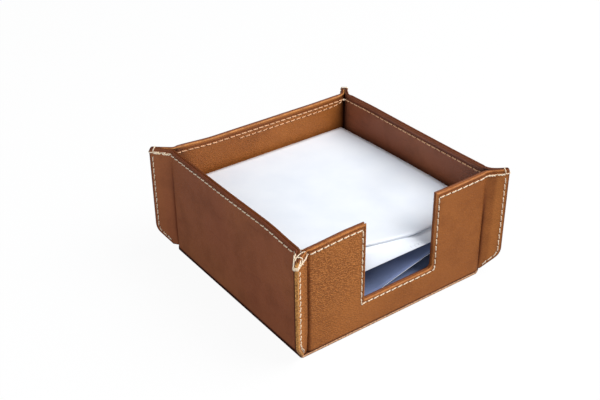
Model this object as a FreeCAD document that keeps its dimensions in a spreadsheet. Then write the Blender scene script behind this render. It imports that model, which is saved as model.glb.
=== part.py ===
"""Square leather tray for loose memo sheets, open at the top, with a finger notch in front.

Four walls, each an outer leather and a lining sewn over a thin board, stand on a leather
covered base. At each corner the leathers of two walls turn outwards along the diagonal and
are sewn face to face into an upright ear. The origin is the centre of the underside, +Z is
up and the notched wall faces -Y. Lengths are in millimetres.
"""
import FreeCAD, Part
import math
import os
import Sketcher
from FreeCAD import Placement, Rotation, Vector

DRIVING_SIZES = [
    ("width", 100, "across the tray, over the faces of the left and right walls"),
    ("depth", 100, "front to back, over the faces of the front and rear walls"),
    ("wall_top", 50, "height of the rim above the table"),
    ("leather", 0.8, "thickness of the outer leather"),
    ("board", 1.2, "thickness of the boards inside the walls"),
    ("lining", 0.8, "thickness of the leather lining"),
    ("board_setback", 0.8, "how far the board's edge lies below the sewn leather edges"),
    ("base_leather", 1.2, "thickness of the leather under the base"),
    ("base_board", 1.8, "thickness of the board inside the base"),
    ("base_lining", 0.8, "thickness of the lining on the floor of the tray"),
    ("base_proud", 0.2, "how far the base leather stands out past the walls"),
    ("base_corner_cut", 4.0, "leg of the bevel across each corner of the base leather"),
    ("seat_gap", 0.1, "clearance of the base board and floor lining inside the walls"),
    ("ear_reach", 6.8, "from the wall corner out to the ear's edge, along the diagonal"),
    ("ear_swell", 0.6, "how much further a face of the ear is from its middle at the wall"),
    ("ear_rise", 9.2, "height at which the ear's slanted lower edge meets its upright edge"),
    ("ear_round", 7.5, "radius between the slanted and the upright edge of an ear"),
    ("notch_width", 38, "width of the finger notch"),
    ("notch_floor", 14.4, "height of the bottom of the finger notch"),
    ("notch_round", 1.6, "radius in the lower corners of the finger notch"),
    ("thread", 0.55, "width of the sewing thread"),
    ("thread_stand", 0.3, "how far a stitch stands out of the leather"),
    ("stitch_long", 2.5, "visible length of one stitch"),
    ("stitch_space", 0.7, "space between two stitches"),
    ("stitch_inset", 2.5, "from a leather edge to the line of stitches beside it"),
    ("note_clearance", 2.2, "from the linings to the sides of the memo sheets"),
    ("stack_thick", 10.0, "thickness of the flat stack at the bottom"),
    ("sheet_thick", 0.3, "thickness of a single loose sheet with its curl"),
    ("bundle_thick", 0.9, "thickness of a few sheets lying together"),
    ("note_gap", 0.3, "air between two curled layers of sheets"),
    ("curl_right", 9.6, "rise of the curled sheet's front right corner above the stack"),
    ("curl_start", 10.0, "distance left of the centre at which the curled sheet lifts"),
    ("middle_air", 1.5, "air between the curled corner and the front edge of the middle sheets"),
    ("front_air", 4.2, "air between the front edges of the middle and the upper sheets"),
    ("dip_side", 16.0, "distance right of the centre of the lowest point in front"),
    ("left_rise", 10.6, "rise of the top sheet's front left corner above the dip"),
    ("right_rise", 4.8, "rise of the top sheet's front right corner above the dip"),
    ("rear_rise", 1.9, "rise of the top sheet's rear edge above the dip"),
]

doc = FreeCAD.newDocument("MemoTray")
sheet = doc.addObject("Spreadsheet::Sheet", "Sizes")
for row, (alias, value, meaning) in enumerate(DRIVING_SIZES, start=1):
    sheet.set(f"A{row}", alias)
    sheet.set(f"B{row}", str(value))
    sheet.setAlias(f"B{row}", alias)
    sheet.set(f"C{row}", meaning)
doc.recompute()

# Expressions that several pieces share.
ROOT_TWO = "sqrt(2)"
WALL = "(Sizes.leather + Sizes.board + Sizes.lining)"
EAR_HALF = "(Sizes.leather + Sizes.lining)"
EAR_HALF_AT_WALL = f"({EAR_HALF} + Sizes.ear_swell)"
FLOOR = "(Sizes.base_leather + Sizes.base_board + Sizes.base_lining)"
NOTE_X = f"(Sizes.width / 2 - {WALL} - Sizes.note_clearance)"
NOTE_Y = f"(Sizes.depth / 2 - {WALL} - Sizes.note_clearance)"

parts = []


def number(expression):
    """The present value of an expression over the sheet, as a plain number."""
    value = sheet.evalExpression(expression)
    return float(getattr(value, "Value", value))


def new_body(label):
    """An empty body that is exported under its label."""
    body = doc.addObject("PartDesign::Body", "Body_" + label)
    body.Label = label
    parts.append(body)
    return body


def origin_plane(body, role):
    """One of the body's own origin planes."""
    return next(f for f in body.Origin.OriginFeatures if f.Role == role)


def outline(body, name, role, corners):
    """A closed outline of straight lines in one of the body's origin planes.

    Each corner is a pair of expressions, and each coordinate is held by a constraint.
    """
    sketch = body.newObject("Sketcher::SketchObject", f"{name}_{body.Label}")
    sketch.AttachmentSupport = [(origin_plane(body, role), "")]
    sketch.MapMode = "FlatFace"
    points = [Vector(number(x), number(y), 0) for x, y in corners]
    count = len(points)
    for i in range(count):
        sketch.addGeometry(Part.LineSegment(points[i], points[(i + 1) % count]), False)
    for i in range(count):
        sketch.addConstraint(Sketcher.Constraint("Coincident", i, 2, (i + 1) % count, 1))
    for i, (x, y) in enumerate(corners):
        for kind, expression in (("DistanceX", x), ("DistanceY", y)):
            held = Sketcher.Constraint(kind, -1, 1, i, 1, number(expression))
            index = sketch.addConstraint(held)
            sketch.setExpression(f"Constraints[{index}]", expression)
    return sketch


def pad(body, sketch, length):
    """Pads a sketch upwards by an expression."""
    feature = body.newObject("PartDesign::Pad", "Pad_" + sketch.Name)
    feature.Profile = sketch
    feature.setExpression("Length", length)
    sketch.Visibility = False
    doc.recompute()
    return feature


def cut_through(body, sketch, span):
    """Cuts a sketch right through the body, half of the span to either side."""
    before = body.Shape.Volume
    feature = body.newObject("PartDesign::Pocket", "Cut_" + sketch.Name)
    feature.Profile = sketch
    feature.Type = "Length"
    feature.Midplane = True
    feature.setExpression("Length", span)
    doc.recompute()
    if body.Shape.Volume >= before:
        raise RuntimeError(f"{feature.Name} removes nothing")
    return feature


def raise_body(body, height):
    """Lifts a body to the height it stands at."""
    body.setExpression("Placement.Base.z", height)


def round_edges(body, name, radius, chosen):
    """Rounds the edges of the body's last feature that the test picks."""
    base = body.Tip
    names = []
    for i, edge in enumerate(base.Shape.Edges, start=1):
        if chosen(edge):
            names.append(f"Edge{i}")
    if not names:
        raise RuntimeError(f"{body.Label} has no edge to round for {name}")
    feature = body.newObject("PartDesign::Fillet", f"{name}_{body.Label}")
    feature.Base = (base, names)
    feature.setExpression("Radius", radius)
    doc.recompute()
    return feature


# Walls. Each is drawn as the front wall of its own span and turned about +Z.
WALLS = {
    "front": ("Sizes.width", "Sizes.depth", 0),
    "right": ("Sizes.depth", "Sizes.width", 90),
    "rear": ("Sizes.width", "Sizes.depth", 180),
    "left": ("Sizes.depth", "Sizes.width", 270),
}


def both_sides(right_half):
    """A closed outline from its right half, listed from the outer face to the inner one."""
    left_half = [(f"-({x})", y) for x, y in reversed(right_half)]
    return right_half + left_half


def crease(span, across, inset, offset):
    """Where a face of the wall, an inset behind its front, meets a face of the ear."""
    return (f"{span} / 2 - {inset} - {offset} * {ROOT_TWO}", f"-{across} / 2 + {inset}")


def ear_tip(span, across, offset):
    """The outer end of a face of the ear, an offset from the ear's middle plane."""
    return (
        f"{span} / 2 + (Sizes.ear_reach - {offset}) / {ROOT_TWO}",
        f"-{across} / 2 - (Sizes.ear_reach + {offset}) / {ROOT_TWO}",
    )


BEHIND_BOARD = "(Sizes.leather + Sizes.board)"
BEHIND_SWELL = "(Sizes.lining + Sizes.ear_swell)"
OUTER_FACES = [("0", EAR_HALF_AT_WALL, EAR_HALF), ("Sizes.leather", BEHIND_SWELL, "Sizes.lining")]
LINING_FACES = [(BEHIND_BOARD, "Sizes.lining", "Sizes.lining"), (WALL, "0", "0")]


def leather_plan(span, across, front_face, rear_face):
    """Plan of a leather strip whose two ends turn out along the corner diagonals.

    Each face is its depth behind the wall's front, and its distances from the middle plane of
    the ear beside the wall and at the ear's edge.
    """
    inset, at_wall, at_edge = front_face
    outer = [crease(span, across, inset, at_wall), ear_tip(span, across, at_edge)]
    inset, at_wall, at_edge = rear_face
    inner = [ear_tip(span, across, at_edge), crease(span, across, inset, at_wall)]
    return both_sides(outer + inner)


def cut_notch(body, across, margin):
    """The finger notch, open at the rim; the margin widens it for the board."""
    half = f"(Sizes.notch_width / 2 + {margin})"
    low = f"(Sizes.notch_floor - Sizes.base_leather - {margin})"
    high = "(Sizes.wall_top + Sizes.notch_round)"
    corners = [(f"-{half}", low), (half, low), (half, high), (f"-{half}", high)]
    cut_through(body, outline(body, "NotchOutline", "XZ_Plane", corners), f"2 * {across}")
    floor = number(low)

    def lower_corner(edge):
        middle = edge.CenterOfMass
        along_y = abs(edge.tangentAt(edge.FirstParameter).y) > 0.999
        return along_y and abs(middle.z - floor) < 1e-4 and abs(abs(middle.x) - number(half)) < 1e-4

    round_edges(body, "NotchRound", f"Sizes.notch_round + {margin}", lower_corner)


def cut_ear(body, span, across, side, yaw):
    """The slanted lower edge of one ear, cut square to the ear.

    The sketch stands in the ear's middle plane: its X runs out along the diagonal from the
    corner of the walls, and its Y runs up.
    """
    start = (f"-{EAR_HALF_AT_WALL}", "0.000001")
    meet = ("Sizes.ear_reach", "Sizes.ear_rise - Sizes.base_leather")
    beyond = "2 * Sizes.ear_reach"
    below = "-Sizes.ear_rise"
    corners = [start, meet, (beyond, meet[1]), (beyond, below), (start[0], below)]
    sketch = outline(body, "EarOutline" + ("Right" if side > 0 else "Left"), "XZ_Plane", corners)
    sketch.AttachmentOffset = Placement(Vector(), Rotation(Vector(0, 1, 0), yaw))
    sketch.setExpression("AttachmentOffset.Base.x", f"{side} * {span} / 2")
    sketch.setExpression("AttachmentOffset.Base.z", f"{across} / 2")
    cut_through(body, sketch, "6 * (Sizes.leather + Sizes.lining)")


def round_ears(body, span, across):
    """The round between the slanted and the upright edge of both ears."""
    height = number("Sizes.ear_rise - Sizes.base_leather")
    half_span = number(f"{span} / 2")
    half_across = number(f"{across} / 2")
    reach = number("Sizes.ear_reach")

    def ear_corner(edge):
        middle = edge.CenterOfMass
        level = abs(edge.tangentAt(edge.FirstParameter).z) < 1e-6
        out = (abs(middle.x) - half_span - middle.y - half_across) / math.sqrt(2)
        return level and abs(middle.z - height) < 1e-4 and abs(out - reach) < 1e-4

    round_edges(body, "EarRound", "Sizes.ear_round", ear_corner)


def leather_piece(label, wall, front_face, rear_face):
    """An outer leather or a lining, with its two ear wings."""
    span, across, turn = WALLS[wall]
    body = new_body(label)
    plan = leather_plan(span, across, front_face, rear_face)
    pad(body, outline(body, "Plan", "XY_Plane", plan), "Sizes.wall_top - Sizes.base_leather")
    cut_ear(body, span, across, 1, -45)
    cut_ear(body, span, across, -1, -135)
    round_ears(body, span, across)
    if wall == "front":
        cut_notch(body, across, "0")
    body.Placement = Placement(Vector(), Rotation(Vector(0, 0, 1), turn))
    raise_body(body, "Sizes.base_leather")


def wall_board(wall):
    """The board between the two leathers, cut off where they close at the ears."""
    span, across, turn = WALLS[wall]
    body = new_body(f"{wall}_wall_board")
    plan = both_sides([
        crease(span, across, "Sizes.leather", BEHIND_SWELL),
        crease(span, across, BEHIND_BOARD, "Sizes.lining"),
    ])
    rise = "Sizes.wall_top - Sizes.base_leather - Sizes.board_setback"
    pad(body, outline(body, "Plan", "XY_Plane", plan), rise)
    if wall == "front":
        cut_notch(body, across, "Sizes.board_setback")
    body.Placement = Placement(Vector(), Rotation(Vector(0, 0, 1), turn))
    raise_body(body, "Sizes.base_leather")


for wall in WALLS:
    leather_piece(f"{wall}_outer_leather", wall, *OUTER_FACES)
    wall_board(wall)
    leather_piece(f"{wall}_lining", wall, *LINING_FACES)


# Base.
def base_cover():
    """The leather under the base, a little proud of the walls, its corners bevelled."""
    body = new_body("base_cover")
    out_x = "(Sizes.width / 2 + Sizes.base_proud)"
    out_y = "(Sizes.depth / 2 + Sizes.base_proud)"
    in_x = f"({out_x} - Sizes.base_corner_cut)"
    in_y = f"({out_y} - Sizes.base_corner_cut)"
    right = [(in_x, f"-{out_y}"), (out_x, f"-{in_y}"), (out_x, in_y), (in_x, out_y)]
    pad(body, outline(body, "Plan", "XY_Plane", both_sides(right)), "Sizes.base_leather")


def floor_plate(label, thickness, height):
    """A flat plate that fits inside the four linings."""
    body = new_body(label)
    half_x = f"(Sizes.width / 2 - {WALL} - Sizes.seat_gap)"
    half_y = f"(Sizes.depth / 2 - {WALL} - Sizes.seat_gap)"
    right = [(half_x, f"-{half_y}"), (half_x, half_y)]
    pad(body, outline(body, "Plan", "XY_Plane", both_sides(right)), thickness)
    raise_body(body, height)


base_cover()
floor_plate("base_board", "Sizes.base_board", "Sizes.base_leather")
floor_plate("base_lining", "Sizes.base_lining", "Sizes.base_leather + Sizes.base_board")


# Memo sheets.
def flat_stack():
    """The sheets that lie flat on the floor of the tray."""
    body = new_body("lower_note_stack")
    right = [(NOTE_X, f"-{NOTE_Y}"), (NOTE_X, NOTE_Y)]
    pad(body, outline(body, "Plan", "XY_Plane", both_sides(right)), "Sizes.stack_thick")
    raise_body(body, FLOOR)


def curled_sheets(label, thickness, sections):
    """Sheets of even thickness whose upper face passes through the given sections.

    A section is a distance in front of the centre and the upper face's (x, height) points.
    """
    body = new_body(label)
    profiles = []
    for i, (forward, line) in enumerate(sections):
        under = [(x, f"{z} - {thickness}") for x, z in reversed(line)]
        profile = outline(body, f"Section{i}", "XZ_Plane", line + under)
        profile.setExpression("AttachmentOffset.Base.z", forward)
        profiles.append(profile)
    feature = body.newObject("PartDesign::AdditiveLoft", "Loft_" + label)
    feature.Profile = profiles[0]
    feature.Sections = profiles[1:]
    feature.Ruled = True
    doc.recompute()


def section(bend, left, middle, right):
    """The upper face's points in one section: at the left edge, at a bend and at the right edge."""
    return [(f"-{NOTE_X}", left), (bend, middle), (NOTE_X, right)]


def level(height, bend):
    """A section of one height, with the same points as a bent one."""
    return section(bend, height, height, height)


CURL_BEND = "-Sizes.curl_start"
DIP = "Sizes.dip_side"
STACK_TOP = f"({FLOOR} + Sizes.stack_thick)"
CURL_LOW = f"({STACK_TOP} + Sizes.sheet_thick)"
CURL_HIGH = f"({CURL_LOW} + Sizes.curl_right)"
MIDDLE_FRONT = f"({CURL_HIGH} + Sizes.middle_air + Sizes.bundle_thick)"
MIDDLE_LOW = f"({CURL_LOW} + Sizes.curl_right / 2 + Sizes.note_gap + Sizes.bundle_thick)"
UPPER_DIP = f"({MIDDLE_FRONT} + Sizes.front_air + Sizes.bundle_thick)"
UPPER_REAR = f"({UPPER_DIP} + Sizes.rear_rise)"
MIDDLE_REAR = f"({UPPER_REAR} - Sizes.bundle_thick - Sizes.note_gap)"
TOP_ABOVE = "Sizes.note_gap + Sizes.sheet_thick"


def upper_sections(above):
    """The front and rear sections of the uppermost sheets, raised above the upper notes."""
    dip = f"{UPPER_DIP} + {above}"
    front = section(DIP, f"{dip} + Sizes.left_rise", dip, f"{dip} + Sizes.right_rise")
    return [(NOTE_Y, front), (f"-{NOTE_Y}", level(f"{UPPER_REAR} + {above}", DIP))]


flat_stack()
curled_sheets("curled_note", "Sizes.sheet_thick", [
    (NOTE_Y, section(CURL_BEND, CURL_LOW, CURL_LOW, CURL_HIGH)),
    (f"-{NOTE_Y}", level(CURL_LOW, CURL_BEND)),
])
curled_sheets("middle_notes", "Sizes.bundle_thick", [
    (NOTE_Y, level(MIDDLE_FRONT, DIP)),
    ("0", level(MIDDLE_LOW, DIP)),
    (f"-{NOTE_Y}", level(MIDDLE_REAR, DIP)),
])
curled_sheets("upper_notes", "Sizes.bundle_thick", upper_sections("0"))
curled_sheets("top_note", "Sizes.sheet_thick", upper_sections(TOP_ABOVE))


# Stitching. Rows of separate stitches lie on the leather along its edges.
WIDTH = number("Sizes.width")
DEPTH = number("Sizes.depth")
THREAD = number("Sizes.thread")
STAND = number("Sizes.thread_stand")
STITCH = number("Sizes.stitch_long")
SPACE = number("Sizes.stitch_space")
INSET = number("Sizes.stitch_inset")
RIM = number("Sizes.wall_top")
REACH = number("Sizes.ear_reach")
EDGE_HALF = number(EAR_HALF)
CREASE_HALF = number(EAR_HALF_AT_WALL)
CLOSING = (CREASE_HALF - EDGE_HALF) / (CREASE_HALF + REACH)
WALL_THICK = number(WALL)
UP = Vector(0, 0, 1)


def bar(start, end, outward, wide, proud):
    """A straight bar of thread on a face, from start to end, standing out of the face."""
    along = (end - start).normalize()
    across = outward.cross(along).normalize()
    corner = start - across * (wide / 2)
    bottom = Part.makePolygon([
        corner,
        corner + (end - start),
        corner + (end - start) + across * wide,
        corner + across * wide,
        corner,
    ])
    return Part.Face(bottom).extrude(outward * proud)


def stitches_along(wire, outward):
    """Evenly spaced stitches along a wire, as many as fit."""
    count = max(1, int((wire.Length + SPACE) // (STITCH + SPACE)))
    pitch = wire.Length / count
    margin = (pitch - STITCH) / 2
    row = []
    for i in range(count):
        ends = [i * pitch + margin, i * pitch + margin + STITCH]
        start, end = (point_on(wire, distance) for distance in ends)
        row.append(bar(start, end, outward, THREAD, STAND))
    return row


def point_on(wire, distance):
    """The point of a wire at a distance from its start."""
    for edge in wire.OrderedEdges:
        if distance <= edge.Length + 1e-9:
            return edge.valueAt(edge.getParameterByLength(distance))
        distance -= edge.Length
    return wire.OrderedVertexes[-1].Point


def straight_rows(points, outward):
    """Stitches along each straight run between the points."""
    rows = []
    for start, end in zip(points, points[1:]):
        rows += stitches_along(Part.Wire(Part.makeLine(start, end)), outward)
    return rows


def add_feature(label, solids, turn=0):
    """Exports a group of separate solids as one node, turned about +Z."""
    feature = doc.addObject("Part::Feature", "Group_" + label)
    feature.Label = label
    feature.Shape = Part.makeCompound(solids)
    feature.Placement = Placement(Vector(), Rotation(UP, turn))
    parts.append(feature)


def ear_half(out):
    """From the ear's middle plane to its face, at a distance out from the wall corner."""
    return EDGE_HALF + CLOSING * (REACH - out)


def ear_face(corner, out, across):
    """A face of an ear: its point beside the wall corner, its outward direction, its normal."""
    along = (out - across * CLOSING).normalize()
    return corner + across * ear_half(0), along, (across + out * CLOSING).normalize()


def rim_path(half_span, face, notched):
    """Corner points of the rim's line of stitches on a face of the wall."""
    line = RIM - INSET
    ends = [Vector(-half_span, face, line), Vector(half_span, face, line)]
    if not notched:
        return ends
    side = number("Sizes.notch_width / 2") + INSET
    low = number("Sizes.notch_floor") - INSET
    notch = [Vector(-side, face, line), Vector(-side, face, low)]
    return [ends[0]] + notch + [Vector(-p.x, p.y, p.z) for p in reversed(notch)] + [ends[1]]


def rim_stitching(wall):
    """The stitches along one rim: the outer face, the two ear wings and the lining."""
    span, across, turn = WALLS[wall]
    half_span = number(f"{span} / 2")
    front = -number(f"{across} / 2")
    notched = wall == "front"
    outer_end = half_span - CREASE_HALF * math.sqrt(2) - THREAD
    inner_end = half_span - WALL_THICK - THREAD
    solids = straight_rows(rim_path(outer_end, front, notched), Vector(0, -1, 0))
    solids += straight_rows(rim_path(inner_end, front + WALL_THICK, notched), Vector(0, 1, 0))
    for side in (-1, 1):
        corner = Vector(side * half_span, front, RIM - INSET)
        out = Vector(side, -1, 0).normalize()
        start, along, normal = ear_face(corner, out, Vector(-side, -1, 0).normalize())
        near = start + along * (THREAD - CREASE_HALF)
        far = start + along * (REACH - INSET - THREAD)
        solids += straight_rows([near, far], normal)
    add_feature(f"{wall}_rim_stitching", solids, turn)


def ear_path():
    """The line of stitches inside an ear's edge, as (out, up) lengths from the wall corner."""
    rise = number("Sizes.ear_rise")
    radius = number("Sizes.ear_round")
    foot = Vector(-CREASE_HALF, 0, number("Sizes.base_leather"))
    meet = Vector(REACH, 0, rise)
    slant = (meet - foot).normalize()
    inward = Vector(-slant.z, 0, slant.x)
    turn = math.acos(slant.z)
    tangent = radius * math.tan(turn / 2)
    centre = Vector(REACH - radius, 0, rise + tangent)
    small = radius - INSET
    arc_top = centre + Vector(small, 0, 0)
    arc_low = centre - inward * small
    arc_mid = centre + (arc_top + arc_low - centre * 2).normalize() * small
    top = Vector(REACH - INSET, 0, RIM - INSET - THREAD)
    end = arc_low - slant * (arc_low.x + CREASE_HALF - THREAD) * (1 / slant.x)
    return Part.Wire([
        Part.makeLine(top, arc_top),
        Part.Arc(arc_top, arc_mid, arc_low).toShape(),
        Part.makeLine(arc_low, end),
    ])


CORNERS = {
    "front_left": (-1, -1),
    "front_right": (1, -1),
    "rear_right": (1, 1),
    "rear_left": (-1, 1),
}


def ear_frame(side_x, side_y):
    """The corner of the walls, and the ear's directions out along and across the diagonal."""
    corner = Vector(side_x * WIDTH / 2, side_y * DEPTH / 2, 0)
    out = Vector(side_x, side_y, 0).normalize()
    return corner, out, UP.cross(out)


def ear_stitching(name, side_x, side_y):
    """The stitches down both faces of an ear."""
    corner, out, across = ear_frame(side_x, side_y)
    solids = []
    for facing in (-1, 1):
        start, along, _ = ear_face(corner, out, across * facing)
        on_face = Placement(start, Rotation(along, Vector(), UP, "XZY"))
        for stitch in stitches_along(ear_path(), Vector(0, facing, 0)):
            stitch.Placement = on_face
            solids.append(stitch)
    add_feature(f"{name}_ear_stitching", solids)


def hoop(base, side, outward, thick, half, end_half, length):
    """A thread bent square round the ear's edge: up one face, over the edge, down the other.

    The hoop lies in the plane of side and outward, reaches the length outward from its base to
    the edge, and is as thick as the thread along thick. The ear's half thickness is half at the
    base and end_half at the edge.
    """
    def leg(stand, reach):
        return [
            base - side * (half + stand),
            base - side * (end_half + stand) + outward * reach,
            base + side * (end_half + stand) + outward * reach,
            base + side * (half + stand),
        ]

    ring = leg(STAND, length + STAND) + leg(0, length)[::-1]
    return Part.Face(Part.makePolygon(ring + ring[:1])).extrude(thick * THREAD)


def corner_tie(name, side_x, side_y):
    """The end of the seam: one thread over the ear's top and one round its edge."""
    corner, out, across = ear_frame(side_x, side_y)
    reach = REACH - INSET - THREAD / 2
    half = ear_half(reach)
    crossing = corner + out * reach + UP * (RIM - INSET - THREAD / 2)
    over_top = hoop(crossing + UP * THREAD, across, UP, out, half, half, INSET - THREAD / 2)
    round_edge = hoop(crossing, across, out, UP, half, EDGE_HALF, INSET + THREAD / 2)
    add_feature(f"{name}_corner_tie", [over_top, round_edge])


for wall in WALLS:
    rim_stitching(wall)
for corner_name, (side_x, side_y) in CORNERS.items():
    ear_stitching(corner_name, side_x, side_y)
    corner_tie(corner_name, side_x, side_y)

doc.recompute()
for item in doc.Objects:
    if "Invalid" in item.State or "Error" in item.State:
        raise RuntimeError(f"{item.Label} did not recompute: {item.State}")
for item in parts:
    if item.Shape.isNull() or not item.Shape.isValid():
        raise RuntimeError(f"{item.Label} has no valid shape")

os.makedirs("parts", exist_ok=True)
for item in parts:
    item.Shape.exportStep(f"parts/{item.Label}.step")
    print(item.Label, len(item.Shape.Solids), "solids", round(item.Shape.Volume, 2), "mm3")
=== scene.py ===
"""The looks of a square leather tray for loose memo sheets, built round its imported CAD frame.

Lengths are in millimetres until mesh_piece makes metres of them; in materials, on the stage and
for the lamps they are in metres. The origin is the centre of the underside, +Z is up and the
notched wall faces -Y. Each wall is described in its own frame: x runs along the wall, seen from
outside to the right, and the depth runs outwards.
"""
import random
from math import atan2, cos, hypot, pi, radians, remainder, sin, sqrt, tan
from types import SimpleNamespace as Facts

import bpy
import numpy as np
from mathutils import Matrix, Vector


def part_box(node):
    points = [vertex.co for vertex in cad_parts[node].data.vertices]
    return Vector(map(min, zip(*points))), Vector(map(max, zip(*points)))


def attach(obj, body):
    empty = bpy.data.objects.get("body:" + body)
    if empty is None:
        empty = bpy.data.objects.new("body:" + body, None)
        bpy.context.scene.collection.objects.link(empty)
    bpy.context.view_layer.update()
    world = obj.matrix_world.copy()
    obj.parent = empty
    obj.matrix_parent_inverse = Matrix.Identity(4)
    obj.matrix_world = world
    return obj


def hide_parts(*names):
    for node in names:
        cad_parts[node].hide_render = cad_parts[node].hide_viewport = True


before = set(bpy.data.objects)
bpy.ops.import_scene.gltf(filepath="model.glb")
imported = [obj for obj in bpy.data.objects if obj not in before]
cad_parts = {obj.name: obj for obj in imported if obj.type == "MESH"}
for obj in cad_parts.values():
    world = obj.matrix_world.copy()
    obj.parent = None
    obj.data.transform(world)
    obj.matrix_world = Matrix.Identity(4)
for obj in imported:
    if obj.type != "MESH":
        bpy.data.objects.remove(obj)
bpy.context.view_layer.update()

MM = 0.001
SQUARE = ((-1, -1), (1, -1), (1, 1), (-1, 1))
RANDOM = random.Random(7)


def box(node):
    """The low and high corners of a CAD node, in millimetres."""
    return [Vector(corner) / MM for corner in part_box(node)]


# Driving sizes, from the frame.
FOOT, RIM = [corner.z for corner in box("front_outer_leather")]
BOARD_LOW, BOARD_HIGH = box("front_wall_board")
LEATHER = 0.8
WALL = BOARD_HIGH.y - BOARD_LOW.y + 2 * LEATHER
INNER = -BOARD_HIGH.y - LEATHER
NOTE = box("lower_note_stack")[1].x

# Camera: its azimuth, elevation and roll, its place to the right, up and back, and its lens.
CAMERA_ANGLES = [radians(angle) for angle in (-35.80, 31.15, -0.64)]
CAMERA_PLACE = (-11.49, 25.78, 439.3)
CAMERA_LENS = 58.338

# Light: the world's strength and colour for all but the camera, and what the floor gives back.
WORLD_LIGHT = 0.18
WORLD_TINT = (0.64, 0.8, 1.0, 1)
FLOOR_BOUNCE = (0.3, 0.3, 0.33, 1)
FLOOR_SEEN = (0.97, 0.97, 0.97, 1)
FLOOR_GLOW = 0.94
WHITE = (1, 1, 1, 1)

# Walls: the angle each is turned by, the corners at its ends, how far its rim leans out and
# rises, and the distance of its stitches from the rim.
WALLS = {
    "front": Facts(turn=0, ends=("front_left", "front_right"), lean=0.3, rise=0.5, inset=1.9),
    "right": Facts(turn=90, ends=("front_right", "rear_right"), lean=-0.5, rise=0.7, inset=2.4),
    "rear": Facts(turn=180, ends=("rear_right", "rear_left"), lean=-1.3, rise=0.0, inset=2.4),
    "left": Facts(turn=270, ends=("rear_left", "front_left"), lean=0.35, rise=1.0, inset=1.5),
}

# Ears: direction, half thickness at the wall, its foot and the edge, reach past the corner and at
# the foot, the lift of the rim at the wall and the tip, the height where the crease opens out,
# the bend at the rim and the depth of the crease.
CORNERS = {
    "front_left": Facts(angle=221.0, root=2.85, low_root=2.2, edge=0.9, reach=6.0, foot=3.6,
                        lift=-0.5, tip=-1.4, open_above=49.5, soft=3.9, groove=1.2),
    "front_right": Facts(angle=321.0, root=2.0, low_root=2.4, edge=0.95, reach=6.25, foot=1.9,
                         lift=0.95, tip=0.7, open_above=26, soft=9.0, groove=0.6),
    "rear_right": Facts(angle=54.0, root=2.1, low_root=2.1, edge=1.5, reach=6.0, foot=1.9,
                        lift=0.3, tip=0.0, open_above=30, soft=8.0, groove=0.6),
    "rear_left": Facts(angle=135.0, root=2.1, low_root=1.8, edge=1.1, reach=7.15, foot=3.6,
                       lift=1.2, tip=0.0, open_above=24, soft=4.6, groove=0.6),
}
EAR_RISE = 9.2
EAR_ROUND = 7.5
EAR_TOP_ROUND = 1.2
UNIT_EAR = 10
SHARP_BEND = 3.6
LIFT_REACH = 22

# Notch and edges.
NOTCH_LEFT = -18.6
NOTCH_RIGHT = 18.0
NOTCH_FLOOR = 14.4
LEFT_ROUND = 1.1
RIGHT_ROUND = 2.3
EDGE_ROUND = 0.55
EAR_EDGE_ROUND = 0.24
PINCH = 3.2
EDGE_STATIONS = [0, 0.02, 0.08, 0.18, 0.32, 0.5, 0.75, 1.05]
NOTCH_STATIONS = [0.25, 0.6, 1.1, 1.6, 2.3]
BOARD_SETBACK = 0.9
BASE_CUTS = {(1, -1): 5.4, (1, 1): 4.0, (-1, 1): 5.4, (-1, -1): 0.8}

# Stitches. A tie's ends sink into the leather and its strands lie proud of it.
EAR_INSET = 1.5
NOTCH_INSET = dict(left=1.95, right=1.15, floor=1.3)
STITCH = 2.55
STITCH_PITCH = 3.15
NEAR_EAR_PITCH = 2.7
NEAR_EAR_FILLED = 0.55
THREAD = 0.56
PLY_SIDES = 6
HOLE_SIDES = 8
TIE_LINE = RIM - 1.9
SUNK = -0.3

# Memo sheets: the lowest place of the sagging ones, how far they rise from it at each side, the
# buckle beside it, the height at which the middle ones turn down in front, and where the curl of
# the lowest one starts.
DIP_X = 16
RIGHT_RISE_FROM = DIP_X + 6
SAG_LEFT = 12.6
SAG_RIGHT = 6.6
BUCKLE = 1.9
MIDDLE_FRONT = 25.4
CURL_FROM = -6
STACK_COUNT = 22
SHEET_CELLS = 44

# Leathers: their main, warm, deep, cut-edge and raw-edge colours. The raw-edge colour is painted
# light, shown only on the raw edges that are painted lit.
FRONT_TONES = [(158, 92, 42), (212, 134, 66), (104, 48, 18), (198, 126, 66), (250, 184, 104)]
# The side leather's main tone is bluer than the front's. This is partly painted sheen, standing in
# for the cool reflection on the shaded left wall.
SIDE_TONES = [(160, 92, 58), (172, 104, 62), (104, 50, 28), (92, 44, 24), (84, 40, 18)]
# The lining's light cut-edge colour is partly painted highlight: it gives the bright line along the
# rear rim.
LINING_TONES = [(150, 86, 36), (172, 104, 46), (98, 46, 16), (228, 156, 86), (190, 130, 74)]
# Painted shade: a darker copy of the lining for the right wall, whose inside faces away from the
# key light, with a darker cut edge for the right rim.
SHADED_LINING_TONES = [(130, 74, 50), (142, 84, 54), (76, 36, 24), (116, 68, 42), (190, 130, 74)]
NEAR_LINING_TONES = [(158, 88, 36), (176, 102, 42), (104, 50, 18), (96, 50, 24), (250, 184, 104)]
BASE_TONES = [(124, 66, 36), (144, 80, 42), (60, 26, 12), (58, 26, 12), (222, 170, 128)]
# Painted shade: the brown of the inner corners and of the ears' cut edges.
CORNER_SHADE_BROWN = (30, 10, 4)
EAR_EDGE_SHADE_BROWN = (58, 30, 16)


def smooth(value):
    """A smooth step from 0 to 1."""
    value = np.clip(value, 0.0, 1.0)
    return value * value * (3 - 2 * value)


def unit(vectors):
    """Vectors made 1 long."""
    return vectors / (np.linalg.norm(vectors, axis=-1, keepdims=True) + 1e-12)


def turned(x, y, angle):
    """A place turned round the tray's upright axis."""
    c, s = cos(angle), sin(angle)
    return c * x - s * y, s * x + c * y


def link(name, data):
    """A new object of the scene."""
    piece = bpy.data.objects.new(name, data)
    bpy.context.scene.collection.objects.link(piece)
    return piece


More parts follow.
